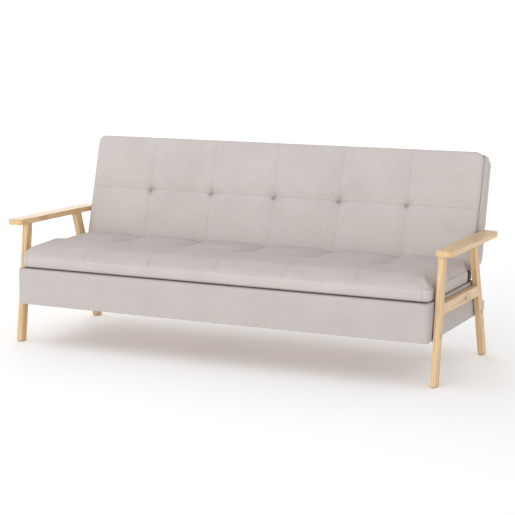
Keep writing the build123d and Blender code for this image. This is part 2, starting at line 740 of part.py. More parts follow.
def rear_pad_shape(inset):
    """The rear pad, deeper at the bottom. Returns a point on its upper rear edge."""
    low, high = band_low + inset, rear_high - inset
    near = rear_layer_at + inset
    with BuildSketch(back_side.offset(-(back_half - inset))) as outline:
        with BuildLine():
            Polyline(
                (low, near),
                (high, near),
                (high, rear_top_depth - inset),
                (low + 36, rear_low_depth - inset),
                (low, rear_low_depth - 24 - inset),
                close=True,
            )
        make_face()
    extrude(outline.sketch, amount=2 * (back_half - inset))
    return back_side.from_local_coords((high, rear_top_depth - inset, 0))


with BuildPart() as back_rear_inside:
    top_edge = rear_pad_shape(fabric)
    fillet(back_rear_inside.edges().filter_by(Axis.X).sort_by_distance(top_edge)[0], 10)

with BuildPart() as back_rear_foam:
    add(back_rear_inside.part)
save(back_rear_foam, "back_rear_foam")

with BuildPart() as back_rear_cover:
    top_edge = rear_pad_shape(0)
    fillet(back_rear_cover.edges().filter_by(Axis.X).sort_by_distance(top_edge)[0], 12)
    add(back_rear_inside.part, mode=Mode.SUBTRACT)
save(back_rear_cover, "back_rear_cover")
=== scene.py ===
# %% [markdown]
# # A sofa bed with wooden arm frames
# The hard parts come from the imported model: arm frames, boards, slats, bolts and the click mechanism.
# This file gives them their finishes and makes the upholstery, which CAD can't shape: a tufted seat, a
# tufted back, its band and rear pad, the padded base box and the cloth-wrapped floor rail.
# Everything is in metres, in the model's own frame: X along the sofa, Y from front to rear, Z up.

# %% Load the frame
import json
from math import cos, pi, radians, sin

import bmesh
import bpy
import numpy as np
from mathutils import Matrix, Vector


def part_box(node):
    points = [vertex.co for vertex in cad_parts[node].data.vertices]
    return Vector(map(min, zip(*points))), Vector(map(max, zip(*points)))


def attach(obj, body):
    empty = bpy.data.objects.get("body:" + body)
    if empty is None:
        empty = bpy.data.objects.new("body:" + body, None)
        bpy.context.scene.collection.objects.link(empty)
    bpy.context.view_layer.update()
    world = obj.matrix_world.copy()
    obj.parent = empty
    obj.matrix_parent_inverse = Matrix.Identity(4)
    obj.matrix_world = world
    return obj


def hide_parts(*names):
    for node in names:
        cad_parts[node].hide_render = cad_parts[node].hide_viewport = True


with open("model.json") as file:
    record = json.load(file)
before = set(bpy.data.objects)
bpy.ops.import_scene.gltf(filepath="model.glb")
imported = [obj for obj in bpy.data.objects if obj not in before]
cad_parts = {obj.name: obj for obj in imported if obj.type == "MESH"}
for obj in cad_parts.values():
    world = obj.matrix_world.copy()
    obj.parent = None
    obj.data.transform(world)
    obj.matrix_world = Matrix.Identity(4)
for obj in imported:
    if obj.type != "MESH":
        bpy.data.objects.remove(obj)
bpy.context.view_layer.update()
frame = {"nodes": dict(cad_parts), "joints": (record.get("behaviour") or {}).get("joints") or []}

MM = 0.001
nodes = frame["nodes"]

# %% [markdown]
# ## Places that everything hangs on
# The seat and the back turn on one line, the pivot of the click mechanism. The back leans, so its
# pieces are made flat, in the back's own directions, and then stood up: along X, up the back (u) and
# out of its front face. The face is a known distance in front of the pivot.

# %% The seat's, the base's and the back's places
seat_lo, seat_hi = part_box("seat_cover")
base_lo, base_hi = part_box("base_cover")
pivot = next(j for j in frame["joints"] if j["name"] == "back_recline")["pos_m"]
LEAN = radians(15)
PIVOT_U, PIVOT_DEPTH = -18.4 * MM, 41.2 * MM
up_back = Vector((0, sin(LEAN), cos(LEAN)))
into_back = Vector((0, cos(LEAN), -sin(LEAN)))
crease = Vector(pivot) - up_back * PIVOT_U - into_back * PIVOT_DEPTH
print("crease", [round(v, 4) for v in crease])


def stand_up(points):
    """Flat back coordinates (X, up the back, out of its face) to the model's frame, as an array."""
    axes = np.array([[1, 0, 0], list(up_back), list(-into_back)])
    return points @ axes + np.array(crease)


# %% [markdown]
# ## Camera, floor and light
# A long lens from far off, a little above the seat and from the sofa's right front. The floor and the
# surroundings are near white, so the sofa stands in soft, even light: a large lamp in front, a weak one
# above to the left and one behind.

# %% Camera
CAMERA_AT = Vector((2.574, -5.560, 1.345))
YAW, PITCH, ROLL = radians(24.68), radians(9.03), radians(0.43)
look = Vector((-sin(YAW) * cos(PITCH), cos(YAW) * cos(PITCH), -sin(PITCH)))
level = Vector((cos(YAW), sin(YAW), 0))
raised = level.cross(look)
right = level * cos(ROLL) + raised * sin(ROLL)
upward = raised * cos(ROLL) - level * sin(ROLL)
camera_data = bpy.data.cameras.new("camera")
camera_data.lens = 104.6
camera_data.sensor_width = 36
camera = bpy.data.objects.new("camera", camera_data)
turn = Matrix((right, upward, -look)).transposed().to_4x4()
camera.matrix_world = Matrix.Translation(CAMERA_AT) @ turn
bpy.context.scene.collection.objects.link(camera)
bpy.context.scene.camera = camera
print("camera", [round(v, 3) for v in camera.location])


# %% Helpers for nodes and materials
def new_material(name):
    material = bpy.data.materials.new(name)
    material.use_nodes = True
    tree = material.node_tree
    tree.nodes.clear()
    out = tree.nodes.new("ShaderNodeOutputMaterial")
    shader = tree.nodes.new("ShaderNodeBsdfPrincipled")
    tree.links.new(shader.outputs[0], out.inputs[0])
    return material, tree, shader


def feed(tree, socket, value):
    """Links a socket to another one, or sets its value."""
    if isinstance(value, bpy.types.NodeSocket):
        tree.links.new(value, socket)
    else:
        socket.default_value = value


def node(tree, kind, values, **settings):
    """A node with its settings and the values or links of its inputs."""
    made = tree.nodes.new(kind)
    for key, value in settings.items():
        setattr(made, key, value)
    for key, value in values.items():
        feed(tree, made.inputs[key], value)
    return made


def math(tree, operation, a, b=0.0, clamp=False):
    return node(tree, "ShaderNodeMath", {0: a, 1: b}, operation=operation, use_clamp=clamp).outputs[0]


def plus(tree, a, b, clamp=False):
    return math(tree, "ADD", a, b, clamp)


def times(tree, a, b, clamp=False):
    return math(tree, "MULTIPLY", a, b, clamp)


def mix_colour(tree, factor, a, b):
    return node(tree, "ShaderNodeMix", {0: factor, 6: a, 7: b}, data_type="RGBA").outputs[2]


def noise(tree, place, scale, detail, **more):
    values = {"Vector": place, "Scale": scale, "Detail": detail, **more}
    return node(tree, "ShaderNodeTexNoise", values).outputs[0]


def own_place(tree):
    """The surface's own coordinates, in metres."""
    return node(tree, "ShaderNodeTexCoord", {}).outputs["Object"]


def relief(tree, shader, height, strength, distance):
    """Gives a finish fine relief."""
    bump = node(tree, "ShaderNodeBump", {"Height": height, "Strength": strength, "Distance": distance})
    tree.links.new(bump.outputs[0], shader.inputs["Normal"])


def new_group(name, inputs, outputs):
    """An empty node group with float or vector sockets: (tree, its input node, its output node)."""
    tree = bpy.data.node_groups.new(name, "ShaderNodeTree")
    for label, kind, value in inputs:
        tree.interface.new_socket(label, in_out="INPUT", socket_type=kind).default_value = value
    for label in outputs:
        tree.interface.new_socket(label, in_out="OUTPUT", socket_type="NodeSocketFloat")
    return tree, tree.nodes.new("NodeGroupInput"), tree.nodes.new("NodeGroupOutput")


def use_group(tree, group, values):
    return node(tree, "ShaderNodeGroup", values, node_tree=group)


def rgb(r, g, b):
    """A colour from screen values of 0 to 255, as the linear light that Blender works in."""
    def linear(v):
        v = v / 255
        return v / 12.92 if v <= 0.04045 else ((v + 0.055) / 1.055) ** 2.4
    return (linear(r), linear(g), linear(b), 1.0)


# %% Floor and lamps
FLOOR_HALF = 3.3


def floor_sheet():
    material, tree, shader = new_material("studio_floor")
    speckle = node(tree, "ShaderNodeTexNoise", {"Scale": 9.0, "Detail": 3.0})
    pale = mix_colour(tree, speckle.outputs[0], rgb(250, 250, 250), rgb(254, 254, 254))
    tree.links.new(pale, shader.inputs["Base Color"])
    shader.inputs["Roughness"].default_value = 0.9
    shader.inputs["Emission Color"].default_value = (1.0, 1.0, 1.0, 1.0)
    shader.inputs["Emission Strength"].default_value = 0.14
    mesh = bpy.data.meshes.new("studio_floor")
    corners = [(x * FLOOR_HALF, y * FLOOR_HALF, 0) for x, y in ((-1, -1), (1, -1), (1, 1), (-1, 1))]
    mesh.from_pydata(corners, [], [(0, 1, 2, 3)])
    mesh.materials.append(material)
    floor = bpy.data.objects.new("studio_floor", mesh)
    bpy.context.scene.collection.objects.link(floor)


def lamp(name, place, aim, size, power):
    data = bpy.data.lights.new(name, "AREA")
    data.shape = "RECTANGLE"
    data.size, data.size_y = size
    data.energy = power
    made = bpy.data.objects.new(name, data)
    made.location = place
    made.rotation_euler = (Vector(aim) - Vector(place)).to_track_quat("-Z", "Y").to_euler()
    bpy.context.scene.collection.objects.link(made)


def sky():
    """Pale light from all round, weaker from straight above, so that level tops are a little darker."""
    world = bpy.data.worlds.new("studio")
    world.use_nodes = True
    tree = world.node_tree
    coords = node(tree, "ShaderNodeTexCoord", {})
    parts = node(tree, "ShaderNodeSeparateXYZ", {0: coords.outputs["Generated"]})
    strength = node(tree, "ShaderNodeMapRange", {0: parts.outputs[2], 1: 0.0, 2: 1.0, 3: 1.1, 4: 0.5})
    background = tree.nodes["Background"]
    background.inputs[0].default_value = (1.0, 1.0, 1.0, 1.0)
    tree.links.new(strength.outputs[0], background.inputs[1])
    bpy.context.scene.world = world


floor_sheet()
sky()
lamp("front_lamp", (0.2, -5.8, 1.9), (0.1, 0, 0.6), (3.6, 2.0), 100)
lamp("top_lamp", (-2.4, -0.9, 3.2), (-0.9, 0, 0.4), (2.5, 2.0), 13)
lamp("rear_lamp", (-2.5, 4.5, 2.8), (0, 0, 0.5), (3.5, 2.5), 60)
bpy.context.scene.view_settings.view_transform = "Standard"

# %% [markdown]
# ## Cloth finish
# The upholstery is a fine, flat-woven cloth with slightly uneven yarns: pale warm grey, with a soft
# mottle that shows from a distance. The weave is worked out from the surface's own coordinates, so it
# needs no unwrapping: the two directions that lie most nearly in the surface carry the two sets of
# yarns. It is a node group, because the lining uses the same weave at another size.

# %% The weave, as a node group
def weave_group():
    group, inside, outside = new_group(
        "plain_weave",
        [("Yarn", "NodeSocketFloat", 0.0012), ("Mottle", "NodeSocketFloat", 0.5)],
        ["Height", "Tone_and_painted_shade"],
    )
    coords = node(group, "ShaderNodeTexCoord", {})
    own = coords.outputs["Object"]
    place = node(group, "ShaderNodeSeparateXYZ", {0: own})
    facing = node(group, "ShaderNodeVectorMath", {0: coords.outputs["Normal"]}, operation="ABSOLUTE")
    facing = node(group, "ShaderNodeSeparateXYZ", {0: facing.outputs[0]})
    nx, ny, nz = facing.outputs
    sideways = math(group, "GREATER_THAN", nx, math(group, "MAXIMUM", ny, nz))
    flat = math(group, "GREATER_THAN", nz, math(group, "MAXIMUM", nx, ny))

    def pick(switch, on, off):
        return plus(group, times(group, switch, on),
                    times(group, math(group, "SUBTRACT", 1.0, switch), off))

    x, y, z = place.outputs
    drift = times(group, math(group, "SUBTRACT", noise(group, own, 90.0, 1.0), 0.5), 0.0012)
    across = math(group, "DIVIDE", plus(group, pick(sideways, y, x), drift), inside.outputs["Yarn"])
    along = math(group, "DIVIDE", math(group, "SUBTRACT", pick(flat, y, z), drift),
                 inside.outputs["Yarn"])
    warp = math(group, "SINE", times(group, across, pi))
    weft = math(group, "SINE", times(group, along, pi))
    over = math(group, "GREATER_THAN", times(group, warp, weft), 0.0)
    height = pick(over, math(group, "ABSOLUTE", warp), math(group, "ABSOLUTE", weft))
    slub, cloud = noise(group, own, 260.0, 2.0), noise(group, own, 7.0, 3.0)
    mottle = plus(group, times(group, slub, 0.7), times(group, cloud, 0.3))
    # Painted shade and light: the weave's dips are darker and the yarns' crowns lighter, added to the
    # mottle, which is the cloth's own uneven tone.
    tone_and_painted_shade = plus(group, times(group, height, 0.3), times(group, mottle, inside.outputs["Mottle"]),
                 clamp=True)
    group.links.new(height, outside.inputs["Height"])
    group.links.new(tone_and_painted_shade, outside.inputs["Tone_and_painted_shade"])
    return group


plain_weave = weave_group()
print("weave group nodes", len(plain_weave.nodes))


# %% Upholstery cloth and black lining
PAINTED_SHADE_TINT = (0.32, 0.29, 0.26)   # the colour of the deepest painted shade, as a share of the cloth's darkest


def cloth(name, dark, light, yarn, mottle, sheen):
    material, tree, shader = new_material(name)
    weave = use_group(tree, plain_weave, {"Yarn": yarn, "Mottle": mottle})
    colour = mix_colour(tree, weave.outputs["Tone_and_painted_shade"], dark, light)
    # Painted shade: a stored amount per point darkens the colour towards a brownish dark, in folds, seams,
    # tuft pits and gaps.
    painted_shade = node(tree, "ShaderNodeAttribute", {}, attribute_name="painted_shade")
    painted_shade_amount = times(tree, painted_shade.outputs["Fac"], 0.75, clamp=True)
    painted_shade_colour = tuple(share * v for share, v in zip(PAINTED_SHADE_TINT, dark)) + (1.0,)
    tree.links.new(mix_colour(tree, painted_shade_amount, colour, painted_shade_colour), shader.inputs["Base Color"])
    relief(tree, shader, weave.outputs["Height"], 0.35, yarn * 0.3)
    shader.inputs["Roughness"].default_value = 0.92
    shader.inputs["Specular IOR Level"].default_value = 0.2
    shader.inputs["Sheen Weight"].default_value = sheen
    shader.inputs["Sheen Roughness"].default_value = 0.5
    return material


upholstery = cloth("upholstery_cloth", rgb(156, 148, 144), rgb(222, 214, 211), 0.0011, 0.8, 0.12)
lining = cloth("black_lining", rgb(16, 16, 17), rgb(34, 34, 36), 0.0009, 0.6, 0.0)

# %% [markdown]
# ## Wood finish
# The arm frames are pale, clear-lacquered softwood: long streaks that follow each piece's length, a
# few darker growth lines and pores, and a satin coat. Grain is noise stretched along one direction,
# so each piece says which way its length runs, and has its own place in the noise.

# %% Grain, as a node group
def grain_group():
    group, inside, outside = new_group(
        "wood_grain",
        [("Vector", "NodeSocketVector", (0, 0, 0)), ("Ring", "NodeSocketFloat", 60.0)],
        ["Band", "Fibre"],
    )
    stretch = node(group, "ShaderNodeMapping", {"Vector": inside.outputs["Vector"],
                                                "Scale": (1.0, 1.0, 0.06)})
    sway = noise(group, stretch.outputs[0], 14.0, 2.0, Distortion=0.4)
    parts = node(group, "ShaderNodeSeparateXYZ", {0: stretch.outputs[0]})
    ring = plus(group, times(group, parts.outputs[0], inside.outputs["Ring"]), times(group, sway, 9.0))
    wave = plus(group, times(group, math(group, "SINE", times(group, ring, 2 * pi)), 0.5), 0.5)
    band = math(group, "POWER", wave, 3.0)
    fine = node(group, "ShaderNodeMapping", {"Vector": inside.outputs["Vector"],
                                             "Scale": (1.0, 1.0, 0.025)})
    fibre = noise(group, fine.outputs[0], 420.0, 4.0, Roughness=0.6)
    broad = noise(group, stretch.outputs[0], 150.0, 3.0, Roughness=0.6)
    both = plus(group, times(group, fibre, 0.45), times(group, broad, 0.55))
    group.links.new(band, outside.inputs["Band"])
    group.links.new(both, outside.inputs["Fibre"])
    return group


wood_grain = grain_group()
print("grain group nodes", len(wood_grain.nodes))


# %% Wood materials
def wood(name, length, offset, pale, deep, ring=95.0, coat=0.25, roughness=0.42):
    """Wood whose grain runs along length, a direction in the model's frame."""
    material, tree, shader = new_material(name)
    spin = Vector(length).rotation_difference(Vector((0, 0, 1))).to_euler()
    turned = node(tree, "ShaderNodeMapping", {"Vector": own_place(tree), "Rotation": spin,
                                              "Location": offset})
    grain = use_group(tree, wood_grain, {"Vector": turned.outputs[0], "Ring": ring})
    fibre = grain.outputs["Fibre"]
    streaks = times(tree, math(tree, "SUBTRACT", fibre, 0.36), 2.6)
    tone = plus(tree, times(tree, grain.outputs["Band"], 0.34), times(tree, streaks, 0.7), clamp=True)
    tree.links.new(mix_colour(tree, tone, pale, deep), shader.inputs["Base Color"])
    rough = plus(tree, times(tree, fibre, 0.14), roughness - 0.07)
    tree.links.new(rough, shader.inputs["Roughness"])
    relief(tree, shader, fibre, 0.12, 0.0004)
    shader.inputs["Coat Weight"].default_value = coat
    shader.inputs["Coat Roughness"].default_value = 0.35
    return material


def dress(name, material):
    """Gives a CAD node its finish."""
    made = nodes[name]
    made.data.materials.clear()
    made.data.materials.append(material)


def run_of(name):
    """The direction in which a piece is longest."""
    low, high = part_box(name)
    spread = [b - a for a, b in zip(low, high)]
    return tuple(1.0 if v == max(spread) else 0.0 for v in spread)


LEG_WIDTH = 45 * MM


def leg_run(name):
    """A leg's own slope in the side view."""
    low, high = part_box(name)
    shift = high[1] - low[1] - LEG_WIDTH
    return (0.0, shift if "front" in name else -shift, high[2] - low[2])


PINE_PALE, PINE_DEEP = rgb(232, 202, 156), rgb(182, 134, 82)
count = 0
for side in ("left", "right"):
    for piece in ("front_leg", "rear_leg", "side_rail", "armrest"):
        label = f"{side}_{piece}"
        way = leg_run(label) if "leg" in piece else run_of(label)
        dress(label, wood(f"lacquered_pine_{label}", way, (count * 0.37, count * 0.21, count * 0.53),
                          PINE_PALE, PINE_DEEP))
        count += 1
timber = [n for n in nodes if n.startswith(("floor_frame", "base_", "back_", "seat_frame"))
          and any(w in n for w in ("rail", "board", "ledge", "stile", "bearers", "block", "seat_frame"))
          and "cover" not in n]
for label in timber:
    dress(label, wood(f"sawn_timber_{label}", run_of(label), (count * 0.31, 0.2, count * 0.17),
                      rgb(222, 190, 145), rgb(176, 133, 86), ring=30.0, coat=0.0, roughness=0.7))
    count += 1
print("wood pieces", count)

# %% Slats, dowels and hardboard
BIRCH = (rgb(228, 202, 160), rgb(196, 158, 108), 70.0, 0.1)
BEECH = (rgb(224, 190, 145), rgb(190, 148, 100), 90.0, 0.0, 0.6)
for label, name, way, offset, finish in (
        ("back_slats", "birch_ply", (0, 0, 1), (0.4, 0.1, 0.7), BIRCH),
        ("seat_slats", "birch_ply_seat", (0, 1, 0), (0.9, 0.3, 0.2), BIRCH),
        ("armrest_dowels", "beech_dowel", (0, 0, 1), (1.1, 0.6, 0.4), BEECH),
        ("side_rail_dowels", "beech_dowel_level", (0, 1, 0), (0.6, 0.2, 1.4), BEECH)):
    dress(label, wood(name, way, offset, *finish))
    print(label, "in", name)


# %% Hardboard
def hardboard():
    material, tree, shader = new_material("hardboard")
    chips = noise(tree, own_place(tree), 300.0, 4.0)
    colour = mix_colour(tree, chips, rgb(118, 84, 56), rgb(150, 112, 78))
    tree.links.new(colour, shader.inputs["Base Color"])
    relief(tree, shader, chips, 0.2, 0.0003)
    shader.inputs["Roughness"].default_value = 0.75
    return material


pressed_board = hardboard()
for label in ("base_bottom_panel", "back_rear_panel"):
    dress(label, pressed_board)

# %% [markdown]
# ## Steel, plastic, rubber and foam
# Zinc-plated steel has faint mottled grain and rubbed spots. The mechanism is painted black, its colour
# made darker and browner still as painted shade for the gap behind the seat. The glides, spacers and slat
# caps are moulded plastic with a fine eggshell texture, and the stops are dull rubber. They share one
# speckle group, which gives each its unevenness at its own scale.

# %% Speckle, as a node group
def speckle_group():
    group, inside, outside = new_group(
        "fine_speckle",
        [("Size", "NodeSocketFloat", 200.0), ("Cloud", "NodeSocketFloat", 12.0)],
        ["Grain", "Patch"],
    )
    own = own_place(group)
    group.links.new(noise(group, own, inside.outputs["Size"], 3.0), outside.inputs["Grain"])
    group.links.new(noise(group, own, inside.outputs["Cloud"], 2.0), outside.inputs["Patch"])
    return group


fine_speckle = speckle_group()
print("speckle group nodes", len(fine_speckle.nodes))


def moulded(name, dark, light, roughness, size, metallic=0.0, relief_depth=0.0002):
    """A hard finish with speckled colour, uneven gloss and a fine surface."""
    material, tree, shader = new_material(name)
    speckle = use_group(tree, fine_speckle, {"Size": size, "Cloud": size / 12})
    grain, patch = speckle.outputs["Grain"], speckle.outputs["Patch"]
    mixed = plus(tree, times(tree, grain, 0.5), times(tree, patch, 0.5))
    tree.links.new(mix_colour(tree, mixed, dark, light), shader.inputs["Base Color"])
    tree.links.new(plus(tree, times(tree, patch, 0.2), roughness - 0.1), shader.inputs["Roughness"])
    relief(tree, shader, grain, 0.25, relief_depth)
    shader.inputs["Metallic"].default_value = metallic
    return material


zinc = moulded("zinc_plate", rgb(150, 152, 156), rgb(205, 207, 210), 0.38, 350.0, 1.0)
# The mechanism's black paint, made darker and browner as painted shade for the shaded gap behind the seat.
black_steel_and_shade = moulded("black_painted_steel", rgb(24, 20, 17), rgb(42, 36, 31), 0.6, 350.0)
black_plastic = moulded("black_plastic", rgb(22, 22, 23), rgb(40, 40, 42), 0.55, 500.0)
rubber = moulded("black_rubber", rgb(18, 18, 18), rgb(32, 32, 31), 0.8, 250.0)
foam = moulded("seat_foam_yellow", rgb(222, 208, 160), rgb(240, 230, 192), 0.9, 600.0, 0.0, 0.0008)
for label in nodes:
    if label.endswith(("fixed_plate", "seat_arm", "back_arm")):
        dress(label, black_steel_and_shade)
for finish, labels in (
        (zinc, "left_pivot_bolt right_pivot_bolt frame_bolts frame_nuts fixed_plate_screws"),
        (black_plastic, "leg_glides leg_spacers seat_slat_caps back_slat_caps"),
        (rubber, "seat_stops"),
        (lining, "seat_lining back_deck"),
        (foam, "seat_foam back_front_foam back_rear_foam"),
        (upholstery, "base_cover floor_frame_cover seat_cover seat_buttons"),
        (upholstery, "back_front_cover back_buttons back_band_cover back_rear_cover")):
    for label in labels.split():
        dress(label, finish)
print("dressed", sum(1 for o in nodes.values() if o.data.materials and o.data.materials[0]), "nodes")

# %% [markdown]
# ## How the cushions are made
# A cushion starts as a box of quads whose lines crowd together at each seam, so that a sewn line can
# be narrow and still be real geometry. Its corners are rounded, its face is crowned, and then cloth
# simulation with air pressure swells each panel between its seams, which are held back. The sewn
# lines and the folds round each tuft are pressed in afterwards.

# %% Lines of the quads, and the skin of a box
PITCH = 14 * MM
SEAM_SIDES = (-5 * MM, -2 * MM, 0.0, 2 * MM, 5 * MM)


def spaced(low, high, seams=(), edges=False):
    """Evenly spaced values from low to high, closer together at each seam and, if asked, each end."""
    even = np.linspace(low, high, max(2, int(round((high - low) / PITCH)) + 1))
    kept = [v for v in even if all(abs(v - s) > 9 * MM for s in seams)]
    ends = [2.5 * MM, 6 * MM, 10 * MM] if edges else []
    close = [s + d for s in seams for d in SEAM_SIDES] + [low + d for d in ends] + [high - d for d in ends]
    return np.array(sorted(kept + close))


def box_skin(xs, ys, zs):
    """Points and quads of a box's surface, with lines at xs, ys and zs."""
    index, points, quads = {}, [], []
    last = (len(xs) - 1, len(ys) - 1, len(zs) - 1)

    def at(i, j, k):
        if (i, j, k) not in index:
            index[i, j, k] = len(points)
            points.append((xs[i], ys[j], zs[k]))
        return index[i, j, k]

    steps = ((0, 0), (1, 0), (1, 1), (0, 1))
    for a, b, across, flipped in ((0, 1, 2, False), (0, 2, 1, True), (1, 2, 0, False)):
        for p in range(last[a]):
            for q in range(last[b]):
                for end in (0, 1):
                    corners, place = [], [0, 0, 0]
                    for dp, dq in steps if bool(end) != flipped else steps[:1] + steps[:0:-1]:
                        place[a], place[b], place[across] = p + dp, q + dq, end * last[across]
                        corners.append(at(*place))
                    quads.append(tuple(corners))
    return np.array(points), quads


def rounded(points, low, high, radii):
    """Rounds a box of points: each point near an edge moves onto an ellipsoid of those radii."""
    low, high, radii = np.array(low), np.array(high), np.array(radii)
    core = np.clip(points, low + radii, high - radii)
    reach = (points - core) / radii
    size = np.linalg.norm(reach, axis=1)
    size[size == 0] = 1
    reach *= (np.abs(reach).max(axis=1) / size)[:, None]
    return core + reach * radii


def new_piece(name, points, quads, material, smooth=True):
    mesh = bpy.data.meshes.new(name)
    mesh.from_pydata([tuple(p) for p in points], [], quads)
    mesh.materials.append(material)
    mesh.validate()
    if smooth:
        mesh.shade_smooth()
    made = bpy.data.objects.new(name, mesh)
    bpy.context.scene.collection.objects.link(made)
    return made


def points_of(obj):
    """The mesh's points as an array."""
    flat = np.empty(len(obj.data.vertices) * 3)
    obj.data.vertices.foreach_get("co", flat)
    return flat.reshape(-1, 3)


def set_points(obj, points):
    obj.data.vertices.foreach_set("co", np.asarray(points).ravel())
    obj.data.update()


def paint_shade(obj, amount):
    """Stores how much painted shade each point gets, in folds, seams, tuft pits and gaps, which darkens the
    cloth's colour.
    """
    layer = obj.data.attributes.new("painted_shade", "FLOAT", "POINT")
    layer.data.foreach_set("value", np.clip(amount, 0, 1).astype(np.float32))


# %% [markdown]
# ## Swelling a cushion
# Blender's Cloth, with pressure and no gravity, is stepped for a few frames. A vertex group says how
# firmly each point is held: tufts and the bottom fully, seams partly, panels not at all. No point may
# move further than a cap, which keeps the cushion in the space that its solid holds.

# %% Cloth simulation, with its result applied
SWELL_FRAMES = 16


def swell(obj, hold, pressure, cap, slack=0.0):
    """Runs the cloth and leaves its shape in the mesh. hold is 0 to 1 for each point."""
    start = points_of(obj)
    group = obj.vertex_groups.new(name="held")
    for value in np.unique(np.round(hold, 2)):
        group.add([int(i) for i in np.nonzero(np.round(hold, 2) == value)[0]], float(value), "REPLACE")
    modifier = obj.modifiers.new("swell", "CLOTH")
    cloth_settings = modifier.settings
    cloth_settings.quality = 4
    cloth_settings.mass = 0.25
    cloth_settings.tension_stiffness = cloth_settings.compression_stiffness = 12
    cloth_settings.shear_stiffness = 4
    cloth_settings.bending_stiffness = 0.4
    cloth_settings.air_damping = 4
    cloth_settings.use_pressure = True
    cloth_settings.uniform_pressure_force = pressure
    cloth_settings.vertex_group_mass = "held"
    cloth_settings.pin_stiffness = 6
    cloth_settings.shrink_min = -slack
    cloth_settings.effector_weights.gravity = 0
    modifier.collision_settings.use_collision = False
    modifier.point_cache.frame_start = 1
    modifier.point_cache.frame_end = SWELL_FRAMES
    scene = bpy.context.scene
    for step in range(1, SWELL_FRAMES + 1):
        scene.frame_set(step)
    shown = obj.evaluated_get(bpy.context.evaluated_depsgraph_get()).to_mesh()
    flat = np.empty(len(shown.vertices) * 3)
    shown.vertices.foreach_get("co", flat)
    moved = flat.reshape(-1, 3) - start
    obj.modifiers.remove(modifier)
    obj.vertex_groups.remove(group)
    scene.frame_set(1)
    length = np.linalg.norm(moved, axis=1)
    scale = np.where(length > cap, cap / np.maximum(length, 1e-9), 1.0)
    set_points(obj, start + moved * scale[:, None])
    print(obj.name, "points", len(start), "mean move", round(float((length * scale).mean()), 4))


def refine(obj):
    """Subdivides the mesh smoothly once and keeps the result."""
    modifier = obj.modifiers.new("finer", "SUBSURF")
    modifier.levels = modifier.render_levels = 1
    graph = bpy.context.evaluated_depsgraph_get()
    finer = bpy.data.meshes.new_from_object(obj.evaluated_get(graph))
    obj.modifiers.remove(modifier)
    old = obj.data
    obj.data = finer
    bpy.data.meshes.remove(old)
    obj.data.name = obj.name
    obj.data.shade_smooth()


# %% Where the seams and tufts are
BACK_HALF = 892 * MM
tuft_gap = 2 * BACK_HALF / 6       # five tufts part each cushion into six panels
tuft_x = [tuft_gap * n for n in (-2, -1, 0, 1, 2)]
seat_tuft_y = (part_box("seat_buttons")[0][1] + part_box("seat_buttons")[1][1]) / 2
BACK_TUFT_U = 225 * MM
seat_tufts = [(x, seat_tuft_y) for x in tuft_x]
back_tufts = [(x, BACK_TUFT_U) for x in tuft_x]
print("tufts at x", [round(x, 3) for x in tuft_x], "seat tufts at y", round(seat_tuft_y, 3))


def nearest(values, marks):
    """Each value's distance to its nearest mark."""
    return np.abs(values[:, None] - np.array(marks)[None, :]).min(axis=1)


def notch(distance, depth, half_width):
    """A rounded groove: how far it is pressed in at a distance from its line."""
    return depth * np.exp(-(distance / half_width) ** 2)


def tuft_pull(x, y, centres, depth, reach, fold_depth=0.0):
    """Dimples with small folds that run out from each tuft. centres is a list of (x, y)."""
    pull = np.zeros_like(x)
    for n, (cx, cy) in enumerate(centres):
        away = np.hypot(x - cx, y - cy)
        angle = np.arctan2(y - cy, x - cx)
        pull += depth * np.exp(-(away / reach) ** 1.3)
        ripple = np.cos(4 * angle + 0.9 * n) + 0.5 * np.cos(7 * angle + 2.1 * n)
        pull += fold_depth * ripple * (away / reach) * np.exp(-(away / reach) ** 1.2)
    return pull


# %% [markdown]
# ## The seat cushion
# A boxed cushion: an upright border all round, a top panel sewn to it, and a grid of seams across the
# top, pulled down at five tufts. The panels between swell, most of all near the back, so the top
# looks quilted. The front edge falls away softly to the border's seam.

# %% Shape the seat cushion
SEAT_SEAM = 50 * MM            # the border's height
CROWN = 29 * MM                # how far the top panel rises above that seam
FRONT_RUN, SIDE_RUN, REAR_RUN = 48 * MM, 38 * MM, 22 * MM   # how far in from each edge it takes
CORNER_SEAM = 862 * MM         # the border's own joins, near the corners
HUMP = 13 * MM                 # how much higher the front panels swell towards the tufts' line
VALLEY, CROSS_VALLEY = 15 * MM, 5 * MM       # how deep it dips along the tufts' line and between tufts
seat_w = seat_hi[0] - 1 * MM
seat_y0, seat_y1 = seat_lo[1] + 1 * MM, seat_hi[1] - 1 * MM
seat_z0 = seat_lo[2] + 0.2 * MM
seat_seam_z = seat_z0 + SEAT_SEAM


def seat_rise(x, y):
    """How far up its slope a point of the top panel is, from 0 at the border to 1."""
    ends = np.minimum((seat_w - np.abs(x)) / SIDE_RUN, (seat_y1 - y) / REAR_RUN)
    inward = np.clip(np.minimum(ends, (y - seat_y0) / FRONT_RUN), 0, 1)
    return 1 - (1 - inward) ** 2.4


def behind_tufts(y, least):
    """1 from the tufts' line to the rear, falling to least in front of it."""
    return np.clip((y - seat_tuft_y) / (70 * MM) + 1.0, least, 1)


